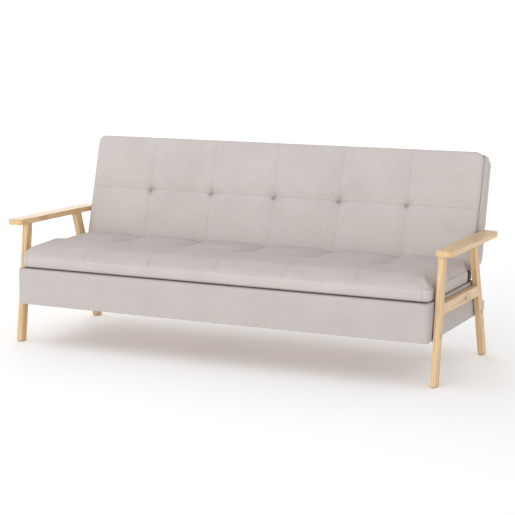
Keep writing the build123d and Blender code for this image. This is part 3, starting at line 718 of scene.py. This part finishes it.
def make_seat():
    xs = spaced(-seat_w, seat_w, tuft_x + [-CORNER_SEAM, CORNER_SEAM], edges=True)
    ys = spaced(seat_y0, seat_y1, [seat_tuft_y], edges=True)
    zs = np.array([seat_z0, seat_z0 + 4 * MM, seat_z0 + 12 * MM, seat_z0 + 22 * MM, seat_z0 + 32 * MM,
                   seat_seam_z - 9 * MM, seat_seam_z - 5 * MM, seat_seam_z - 2 * MM, seat_seam_z])
    points, quads = box_skin(xs, ys, zs)
    x, y, z = points.T
    top, bottom = z >= seat_seam_z - 0.1 * MM, z <= seat_z0 + 0.1 * MM
    rise = np.where(top, seat_rise(x, y), 0)
    shape = rounded(points, (-seat_w, seat_y0, seat_z0), (seat_w, seat_y1, seat_seam_z),
                    (26 * MM, 26 * MM, 2.5 * MM))
    to_x, to_y = nearest(x, tuft_x), np.abs(y - seat_tuft_y)
    hump = HUMP * np.clip((y - seat_y0) / (0.8 * (seat_tuft_y - seat_y0)), 0, 1) ** 1.5
    hump *= 1 - 0.6 * np.clip((y - seat_tuft_y) / (50 * MM), 0, 1)
    behind = behind_tufts(y, 0.06)
    valley = VALLEY * np.exp(-to_y / (21 * MM)) + CROSS_VALLEY * behind * np.exp(-to_x / (20 * MM))
    pull = tuft_pull(shape[:, 0], shape[:, 1], seat_tufts, 8 * MM, 34 * MM)
    shape[:, 2] += CROWN * rise + top * (hump - valley - pull) * np.clip(rise * 1.5, 0, 1)
    hold = np.zeros(len(points))
    hold[top & (to_x < 3 * MM) & (behind > 0.6)] = 0.25
    hold[top & (to_y < 3 * MM)] = 0.5
    hold[top & (to_x < 6 * MM) & (to_y < 6 * MM)] = 1.0
    hold[~top] = 0.45
    hold[bottom] = 1.0
    cushion = new_piece("seat_cushion", shape, quads, upholstery)
    swell(cushion, hold, 3.0, 12 * MM, slack=0.01)
    return cushion


seat_cushion = make_seat()


# %% Press in the seat's seams, tufts and border
def finish_seat(cushion):
    """Presses the top's seams and tufts, then the border's seam, welt and joins, and paints shade into the
    folds, seams and gaps.
    """
    refine(cushion)
    points = points_of(cushion)
    x, y, z = points.T
    top = np.clip((z - seat_seam_z - 3 * MM) / (8 * MM), 0, 1)
    near_edge = np.clip(seat_rise(x, y), 0, 1)
    to_x, to_y = nearest(x, tuft_x), np.abs(y - seat_tuft_y)
    behind = behind_tufts(y, 0.12) * near_edge
    press = notch(to_y, 1.5 * MM, 10 * MM) + notch(to_y, 1.2 * MM, 2.0 * MM)
    press += (notch(to_x, 0.6 * MM, 9 * MM) + notch(to_x, 0.9 * MM, 2.0 * MM)) * behind
    press += tuft_pull(x, y, seat_tufts, 3 * MM, 22 * MM, 2.2 * MM)
    points[:, 2] -= top * press
    seam = notch(z - seat_seam_z + 1 * MM, 1.6 * MM, 1.8 * MM)
    welt = notch(z - seat_seam_z - 3.5 * MM, 1.0 * MM, 2.6 * MM)
    upright = np.clip((z - seat_z0) / (4 * MM), 0, 1) * np.clip((seat_seam_z - z) / (3 * MM), 0, 1)
    joins = notch(np.abs(x) - CORNER_SEAM, 1.8 * MM, 2.2 * MM) * upright * (np.abs(y - seat_y0) < 40 * MM)
    rim = np.clip((0.30 - near_edge) / 0.1, 0, 1) + (z < seat_seam_z)
    inset = 30 * MM
    outward = points - np.clip(points, (-seat_w + inset, seat_y0 + inset, -1),
                               (seat_w - inset, seat_y1 - inset, 2))
    outward[:, 2] = 0
    outward /= np.maximum(np.linalg.norm(outward, axis=1), 1e-6)[:, None]
    points += outward * ((welt - seam) * np.clip(rim, 0, 1) - joins)[:, None]
    set_points(cushion, points)
    # Painted shade: dark round each tuft and in its pit, along the top's seams, in the valley along the
    # tufts' line, a little over the whole top, along the border's seam and its joins, more so at the sides,
    # and along the bottom edge by the gap above the base.
    away = np.min([np.hypot(x - cx, y - cy) for cx, cy in seat_tufts], axis=0)
    painted_shade = top * (notch(away, 0.9, 11 * MM) + notch(away, 0.30, 35 * MM))
    painted_shade += top * (notch(to_y, 0.16, 2.0 * MM) + notch(to_x, 0.10, 2.0 * MM) * behind + 0.05)
    painted_shade += top * notch(to_y, 0.24, 14 * MM) * (0.4 + notch(to_x, 0.6, 70 * MM))
    at_side = np.clip((np.abs(x) - seat_w + 30 * MM) / (20 * MM), 0, 1)
    painted_shade += notch(z - seat_seam_z + 1 * MM, 0.12, 1.6 * MM) * (1 + 1.8 * at_side) * np.clip(rim, 0, 1)
    painted_shade += 0.4 * np.clip((seat_z0 + 2.5 * MM - z) / (2 * MM), 0, 1)
    paint_shade(cushion, painted_shade + joins / (1.8 * MM) * 0.15)


finish_seat(seat_cushion)
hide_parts("seat_cover", "seat_foam")
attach(seat_cushion, "seat")

# %% [markdown]
# ## The back's front cushion
# Thinner and flatter than the seat: one long seam across it and one up and down through each tuft,
# hardly puffed, with a neat dimple at each crossing. It is made flat and stood up at the end. Its two
# lower corners are cut away behind, where the click mechanism's plates turn.

# %% Shape the back's front cushion
BACK_LOW, BACK_HIGH = -43 * MM, 459 * MM
LAYER = 39.5 * MM              # its depth at the border


def make_back_cushion():
    half, low, high = BACK_HALF - 1 * MM, BACK_LOW + 1 * MM, BACK_HIGH - 1 * MM
    xs = spaced(-half, half, tuft_x)
    us = spaced(low, high, [BACK_TUFT_U])
    zs = np.array([-LAYER, -34 * MM, -26 * MM, -18 * MM, -10 * MM, -5 * MM, -2 * MM])
    points, quads = box_skin(xs, us, zs)
    front = points[:, 2] >= -2.1 * MM
    rear = points[:, 2] <= -LAYER + 0.1 * MM
    shape = rounded(points, (-half, low, -LAYER), (half, high, -2 * MM), (32 * MM, 32 * MM, 10 * MM))
    to_x, to_u = nearest(points[:, 0], tuft_x), np.abs(points[:, 1] - BACK_TUFT_U)
    shape[:, 2] -= front * tuft_pull(shape[:, 0], shape[:, 1], back_tufts, 6 * MM, 22 * MM)
    hold = np.zeros(len(points))
    hold[front & ((to_x < 3 * MM) | (to_u < 3 * MM))] = 0.6
    hold[front & (to_x < 6 * MM) & (to_u < 6 * MM)] = 1.0
    hold[~front] = 0.5
    hold[rear] = 1.0
    cushion = new_piece("back_cushion", shape, quads, upholstery)
    swell(cushion, hold, 2.0, 6 * MM, slack=0.004)
    refine(cushion)
    points = points_of(cushion)
    x, u, z = points.T
    inward = np.minimum(half - np.abs(x), np.minimum(u - low, high - u))
    face = np.clip((z + 12 * MM) / (6 * MM), 0, 1) * np.clip(inward / (14 * MM), 0, 1)
    to_x, to_u = nearest(x, tuft_x), np.abs(u - BACK_TUFT_U)
    press = notch(to_u, 0.9 * MM, 1.5 * MM) + notch(to_u, 0.4 * MM, 9 * MM)
    press += notch(to_x, 0.7 * MM, 1.5 * MM) + notch(to_x, 0.4 * MM, 9 * MM)
    press += tuft_pull(x, u, back_tufts, 8 * MM, 16 * MM, 3.4 * MM)
    points[:, 2] -= face * press
    set_points(cushion, points)
    return cushion


def back_painted_shade(points):
    """How much painted shade the back cushion's tuft pits and seams get, from its flat coordinates."""
    x, u, z = points.T
    to_x, to_u = nearest(x, tuft_x), np.abs(u - BACK_TUFT_U)
    face = np.clip((z + 24 * MM) / (10 * MM), 0, 1)
    away = np.min([np.hypot(x - cx, u - BACK_TUFT_U) for cx in tuft_x], axis=0)
    # Painted shade: each tuft's pit is darkest a little to the left of it and below it, where its shadow
    # falls.
    side = np.min([np.hypot(x - cx + 5 * MM, u - BACK_TUFT_U + 4 * MM) for cx in tuft_x], axis=0)
    painted_shade = notch(side, 0.8, 7.5 * MM) + notch(away, 0.16, 26 * MM)
    painted_shade += notch(to_u, 0.15, 1.6 * MM) + notch(to_x, 0.09, 1.6 * MM)
    return face * painted_shade


back_cushion = make_back_cushion()


# %% Cut the cushion's lower corners, then stand it up
CUTS = ((-60, -22, -60, 30), (-30, 32, -60, -20))    # (low u, high u, low z, high z) of each, in mm


def cut_box(low, high):
    """A closed box to cut with, in flat back coordinates."""
    corners = [(x, y, z) for x in (low[0], high[0]) for y in (low[1], high[1])
               for z in (low[2], high[2])]
    quads = [(0, 1, 3, 2), (4, 6, 7, 5), (0, 4, 5, 1), (2, 3, 7, 6), (0, 2, 6, 4), (1, 5, 7, 3)]
    return new_piece("cutter", corners, quads, upholstery, smooth=False)


def cut_corners(cushion):
    for side in (-1, 1):
        x0, x1 = sorted((side * 838 * MM, side * 0.93))
        for u0, u1, z0, z1 in CUTS:
            cutter = cut_box((x0, u0 * MM, z0 * MM), (x1, u1 * MM, z1 * MM))
            modifier = cushion.modifiers.new("cut", "BOOLEAN")
            modifier.operation, modifier.object, modifier.solver = "DIFFERENCE", cutter, "EXACT"
            graph = bpy.context.evaluated_depsgraph_get()
            cut = bpy.data.meshes.new_from_object(cushion.evaluated_get(graph))
            cushion.modifiers.remove(modifier)
            cushion.data = cut
            bpy.data.objects.remove(cutter)
    cushion.data.shade_smooth()


cut_corners(back_cushion)
paint_shade(back_cushion, back_painted_shade(points_of(back_cushion)))
set_points(back_cushion, stand_up(points_of(back_cushion)))
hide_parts("back_front_cover", "back_front_foam")
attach(back_cushion, "back")
print("back cushion points", len(back_cushion.data.vertices))

# %% [markdown]
# ## Covers that wrap a frame
# The back's band, the base box and the floor rail are cloth over thin wadding on timber. Each is a
# closed section carried along a path, with rounded edges, and swells a little between its edges. The
# section can be deeper in one place than in another.

# %% A section carried round a loop
LOOP_PITCH = 18 * MM


def round_loop(x0, x1, y0, y1, radius):
    """Points of a rounded rectangle, counterclockwise, and the outward direction at each."""
    points, normals = [], []
    arcs = [(x1 - radius, y0 + radius, -pi / 2), (x1 - radius, y1 - radius, 0.0),
            (x0 + radius, y1 - radius, pi / 2), (x0 + radius, y0 + radius, pi)]
    for n, (cx, cy, start) in enumerate(arcs):
        for step in range(7):
            angle = start + step / 6 * pi / 2
            normals.append((cos(angle), sin(angle)))
            points.append((cx + radius * cos(angle), cy + radius * sin(angle)))
        fx, fy, begin = arcs[(n + 1) % 4]
        far = (fx + radius * cos(begin), fy + radius * sin(begin))
        near = points[-1]
        parts = max(1, int(np.hypot(far[0] - near[0], far[1] - near[1]) / LOOP_PITCH))
        for step in range(1, parts):
            share = step / parts
            points.append((near[0] + (far[0] - near[0]) * share, near[1] + (far[1] - near[1]) * share))
            normals.append(normals[-1])
    return np.array(points), np.array(normals)


def carried(loop, normals, sections):
    """Points and quads of closed sections [(inset, height), ...], one for each point of a loop."""
    points, quads = [], []
    across, around = len(sections[0]), len(loop)
    for place, out, section in zip(loop, normals, sections):
        points += [(place[0] - out[0] * inset, place[1] - out[1] * inset, z) for inset, z in section]
    for i in range(around):
        j = (i + 1) % around
        for k in range(across):
            m = (k + 1) % across
            quads.append((i * across + k, j * across + k, j * across + m, i * across + m))
    return np.array(points), quads


def turned_out(obj):
    """Makes all faces of a closed mesh face outwards."""
    mesh = bmesh.new()
    mesh.from_mesh(obj.data)
    bmesh.ops.recalc_face_normals(mesh, faces=mesh.faces)
    mesh.to_mesh(obj.data)
    mesh.free()


def waves(a, b, size):
    """A gentle unevenness, the same each time, from two coordinates in metres."""
    return size * (np.sin(17 * a + 3 * b) + 0.6 * np.sin(41 * a - 23 * b + 1.3)) / 1.6


# %% [markdown]
# ## The base box's cover
# It turns in over the ledges that carry the seat, falls down the boards and turns under. Behind the
# legs it stops above the floor frame's side rails. Its top and bottom edges are softly rounded.

# %% Base cover
def base_section(x, y, out):
    """The cover's section at a place on the base's outline."""
    top, behind = base_hi[2], y > base_hi[1] - 14 * MM
    top_in = 48 * MM if y < base_lo[1] + 496 * MM and out[1] < 0.5 else 18 * MM
    bottom_in = 3 * MM if behind else 30 * MM
    low = base_lo[2] + (44 * MM if behind else 0)
    edge = 5.5 * MM
    swell_by = 2.5 * MM if out[1] < -0.9 else 0.8 * MM
    fullness = [0.55, 0.9, 1.0, 0.9, 0.55]
    arc = [(edge * (1 - sin(a)), edge * (1 - cos(a))) for a in (0, pi / 8, pi / 4, 3 * pi / 8, pi / 2)]
    section = [(top_in, top - 0.4 * MM), ((top_in + edge) / 2, top + 0.3 * MM)]
    section += [(inset, top - drop) for inset, drop in arc]
    for k, full in enumerate(fullness):
        z = top - edge - (top - low - 2 * edge) * (k + 1) / 6
        section.append((-full * swell_by + waves(x + y, z, 0.5 * MM), z))
    section += [(inset, low + drop) for inset, drop in reversed(arc)]
    section += [((bottom_in + edge) / 2 + edge / 4, low), (bottom_in + 0.4 * edge, low + 0.3 * MM)]
    section += [(bottom_in + 0.4 * edge, low + 2.4 * MM), (4.5 * MM, low + 2.6 * MM)]
    section += [(2.8 * MM, low + 6 * MM), (2.8 * MM, top - 6 * MM), (4.5 * MM, top - 2.6 * MM)]
    section += [(top_in, top - 2.6 * MM)]
    return section


def make_base_cover():
    loop, normals = round_loop(base_lo[0], base_hi[0], base_lo[1], base_hi[1], 18 * MM)
    sections = [base_section(x, y, out) for (x, y), out in zip(loop, normals)]
    points, quads = carried(loop, normals, sections)
    cover = new_piece("base_upholstery", points, quads, upholstery)
    turned_out(cover)
    refine(cover)
    x, y, z = points_of(cover).T
    # Painted shade: the whole cover a little darker, and much darker over its top where it turns in under
    # the seat, in the gap's shade.
    inward = np.min([x - base_lo[0], base_hi[0] - x, y - base_lo[1]], axis=0)
    under = (z > base_hi[2] - 3 * MM) & (inward > 9 * MM)
    paint_shade(cover, 0.17 + 0.6 * under)
    return cover


base_upholstery = make_base_cover()
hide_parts("base_cover")
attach(base_upholstery, "base")
print("base cover", [round(v, 4) for v in base_upholstery.dimensions])


# %% Floor rail's cover
def make_rail_cover():
    """A U of cloth-wrapped rail with square corners, out behind the box and across the rear."""
    low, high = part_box("floor_frame_cover")
    wide = 33 * MM
    x, start, rear = high[0] - wide / 2, low[1] + 1 * MM, high[1] - wide / 2
    bend, mitre = 40 * MM, (1, 1)
    path = [((x, start), (1, 0)), ((x, start + 40 * MM), (1, 0)), ((x, rear - bend), (1, 0))]
    path += [((x, rear - 4 * MM), mitre), ((x, rear), mitre), ((x - 4 * MM, rear), mitre)]
    corner, count = len(path), 60
    for step in range(count + 1):
        path.append(((x - bend - 2 * (x - bend) * step / count, rear), (0, 1)))
    path += [((-px, py), (-nx, ny)) for (px, py), (nx, ny) in reversed(path[:corner])]
    mid, half, r = (low[2] + high[2]) / 2, (high[2] - low[2]) / 2, 6 * MM
    ring = []
    for sx, sz, first in ((1, 1, 0), (-1, 1, pi / 2), (-1, -1, pi), (1, -1, 3 * pi / 2)):
        for step in range(4):
            a = first + step / 3 * pi / 2
            ring.append((sx * (wide / 2 - r) + r * cos(a), sz * (half - r) + r * sin(a)))
    points, quads = [], []
    for n, ((px, py), (nx, ny)) in enumerate(path):
        plump = 1 + 0.012 * sin(0.9 * n)
        points += [(px + nx * a * plump, py + ny * a * plump, mid + b) for a, b in ring]
    size = len(ring)
    for i in range(len(path) - 1):
        for k in range(size):
            m = (k + 1) % size
            quads.append((i * size + k, (i + 1) * size + k, (i + 1) * size + m, i * size + m))
    quads.append(tuple(range(size)))
    quads.append(tuple(reversed(range((len(path) - 1) * size, len(path) * size))))
    cover = new_piece("rail_upholstery", np.array(points), quads, upholstery)
    turned_out(cover)
    return cover


rail_upholstery = make_rail_cover()
print("floor rail cover", [round(v, 4) for v in rail_upholstery.dimensions])
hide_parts("floor_frame_cover")
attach(rail_upholstery, "base")

# %% [markdown]
# ## The back's band and rear pad
# The band wraps the back's frame between the two cushions and stands slightly proud of both seams.
# The rear pad is a plain wedge, deeper low down, with rounded corners, and swells as one panel.

# %% Band round the back's frame
BAND_NEAR, BAND_FAR = -39.6 * MM, -100.25 * MM


def make_band():
    """The band, with a lip turned in behind the front cushion and before the rear pad."""
    loop, normals = round_loop(-891 * MM, 891 * MM, 5 * MM, 452 * MM, 12 * MM)
    near, far, lip = BAND_NEAR, BAND_FAR, 8 * MM
    outer = [(1.9, 0.0), (1.2, 0.02), (-0.6, 0.08), (-2.2, 0.25), (-2.8, 0.5), (-2.2, 0.75), (-0.6, 0.92),
             (1.2, 0.98), (1.9, 1.0)]
    section = [(inset * MM, near + (far - near) * share) for inset, share in outer]
    section += [(lip, far), (lip, far + 0.2 * MM), (3.0 * MM, far + 0.2 * MM), (3.0 * MM, (near + far) / 2),
                (3.0 * MM, near - 0.3 * MM), (lip, near - 0.3 * MM), (lip, near)]
    points, quads = carried(loop, normals, [section] * len(loop))
    band = new_piece("back_band", points, quads, upholstery)
    turned_out(band)
    refine(band)
    return band


back_band = make_band()
# Painted shade along the band's two edges, in the grooves beside the front cushion and the rear pad.
z = points_of(back_band)[:, 2]
paint_shade(back_band, 0.3 * np.clip(1 - np.minimum(BAND_NEAR - z, z - BAND_FAR) / (3 * MM), 0, 1))
set_points(back_band, stand_up(points_of(back_band)))
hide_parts("back_band_cover")
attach(back_band, "back")


# %% Rear pad
PAD_FRONT = -100.3 * MM


def make_rear_pad():
    half, low, high = 891 * MM, 6 * MM, 451 * MM
    xs, us = spaced(-half, half, edges=True), spaced(low, high, edges=True)
    shares = np.array([0.0, 0.08, 0.2, 0.4, 0.6, 0.8, 0.92, 1.0])
    unit = 45 * MM
    points, quads = box_skin(xs, us, shares * unit)
    shape = rounded(points, (-half, low, 0), (half, high, unit), (26 * MM, 26 * MM, 11 * MM))
    depth = np.interp(shape[:, 1], [5 * MM, 41 * MM, 452 * MM], [50 * MM, 70 * MM, 47 * MM])
    inward = np.minimum(half - np.abs(points[:, 0]), np.minimum(points[:, 1] - low, high - points[:, 1]))
    rear = points[:, 2] >= unit - 0.1 * MM
    hold = np.where(rear, 0.0, 0.6)
    hold[points[:, 2] <= 0.1 * MM] = 1.0
    hold[rear & (inward < 12 * MM)] = 0.4
    shape[:, 2] = PAD_FRONT - shape[:, 2] / unit * (depth - 2 * MM)
    pad = new_piece("back_rear_cushion", shape, quads, upholstery)
    turned_out(pad)
    swell(pad, hold, 2.5, 5 * MM)
    refine(pad)
    return pad


back_rear_cushion = make_rear_pad()
flat = points_of(back_rear_cushion)
# Painted shade on the pad's front edge, in the groove behind the band.
paint_shade(back_rear_cushion, 0.5 * np.clip(1 - (PAD_FRONT - flat[:, 2]) / (4 * MM), 0, 1))
set_points(back_rear_cushion, stand_up(flat))
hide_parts("back_rear_cover", "back_rear_foam")
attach(back_rear_cushion, "back")

# %% [markdown]
# ## Buttons and hidden cloths
# Each tuft is held by a small button covered in the same cloth, sunk in its dimple. Two dark cloths
# are stapled on flat: one closes the seat's underside, and one lies over the back's slats.

# %% Cloth-covered buttons
def buttons(name, centres, base, height, radius):
    """Low domes on a plane: centres (x, y) at a base height."""
    rings, sides = 6, 28
    points, quads = [], []
    for cx, cy in centres:
        first = len(points)
        points.append((cx, cy, base + height))
        for ring in range(1, rings + 1):
            tilt = ring / rings * pi / 2
            for step in range(sides):
                a = 2 * pi * step / sides
                points.append((cx + radius * sin(tilt) * cos(a), cy + radius * sin(tilt) * sin(a),
                               base + height * cos(tilt)))
        points += [(cx + radius * cos(2 * pi * s / sides), cy + radius * sin(2 * pi * s / sides),
                    base - 1.5 * MM) for s in range(sides)]
        for s in range(sides):
            t = (s + 1) % sides
            quads.append((first, first + 1 + s, first + 1 + t))
            for ring in range(rings):
                a, b = first + 1 + ring * sides, first + 1 + (ring + 1) * sides
                quads.append((a + s, b + s, b + t, a + t))
        last = first + 1 + rings * sides
        quads.append(tuple(range(last + sides - 1, last - 1, -1)))
    return new_piece(name, np.array(points), quads, upholstery)


seat_button_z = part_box("seat_buttons")[0][2]
seat_caps = buttons("seat_cloth_buttons", seat_tufts, seat_button_z - 1 * MM, 4.5 * MM, 10 * MM)
# Painted shade: the button is darkened as if it sat in its dimple's shade.
paint_shade(seat_caps, np.full(len(seat_caps.data.vertices), 0.35))
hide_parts("seat_buttons")
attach(seat_caps, "seat")
back_caps = buttons("back_cloth_buttons", back_tufts, -15.5 * MM, 4.5 * MM, 10 * MM)
# Painted shade, deeper on the back's buttons.
paint_shade(back_caps, np.full(len(back_caps.data.vertices), 0.55))
set_points(back_caps, stand_up(points_of(back_caps)))
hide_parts("back_buttons")
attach(back_caps, "back")


# %% Dark cloths
def dark_cloth(name, x0, x1, y0, y1, height):
    """A thin sheet stretched flat, hardly dipping between its staples."""
    xs, ys, dip = np.linspace(x0, x1, 90), np.linspace(y0, y1, 24), 0.2 * MM
    points = [(x, y, height - dip * abs(sin(pi * 12 * x))) for y in ys for x in xs]
    across = len(xs)
    quads = [(j * across + i, j * across + i + 1, (j + 1) * across + i + 1, (j + 1) * across + i)
             for j in range(len(ys) - 1) for i in range(across - 1)]
    return new_piece(name, np.array(points), quads, lining)


low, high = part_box("seat_lining")
seat_cloth = dark_cloth("seat_lining_cloth", low[0], high[0], low[1], high[1], high[2] - 0.3 * MM)
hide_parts("seat_lining")
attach(seat_cloth, "seat")
deck_half, deck_low, deck_high = 837 * MM, 7 * MM, 450 * MM
back_cloth = dark_cloth("back_deck_cloth", -deck_half, deck_half, deck_low, deck_high, -41 * MM)
set_points(back_cloth, stand_up(points_of(back_cloth)))
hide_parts("back_deck")
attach(back_cloth, "back")
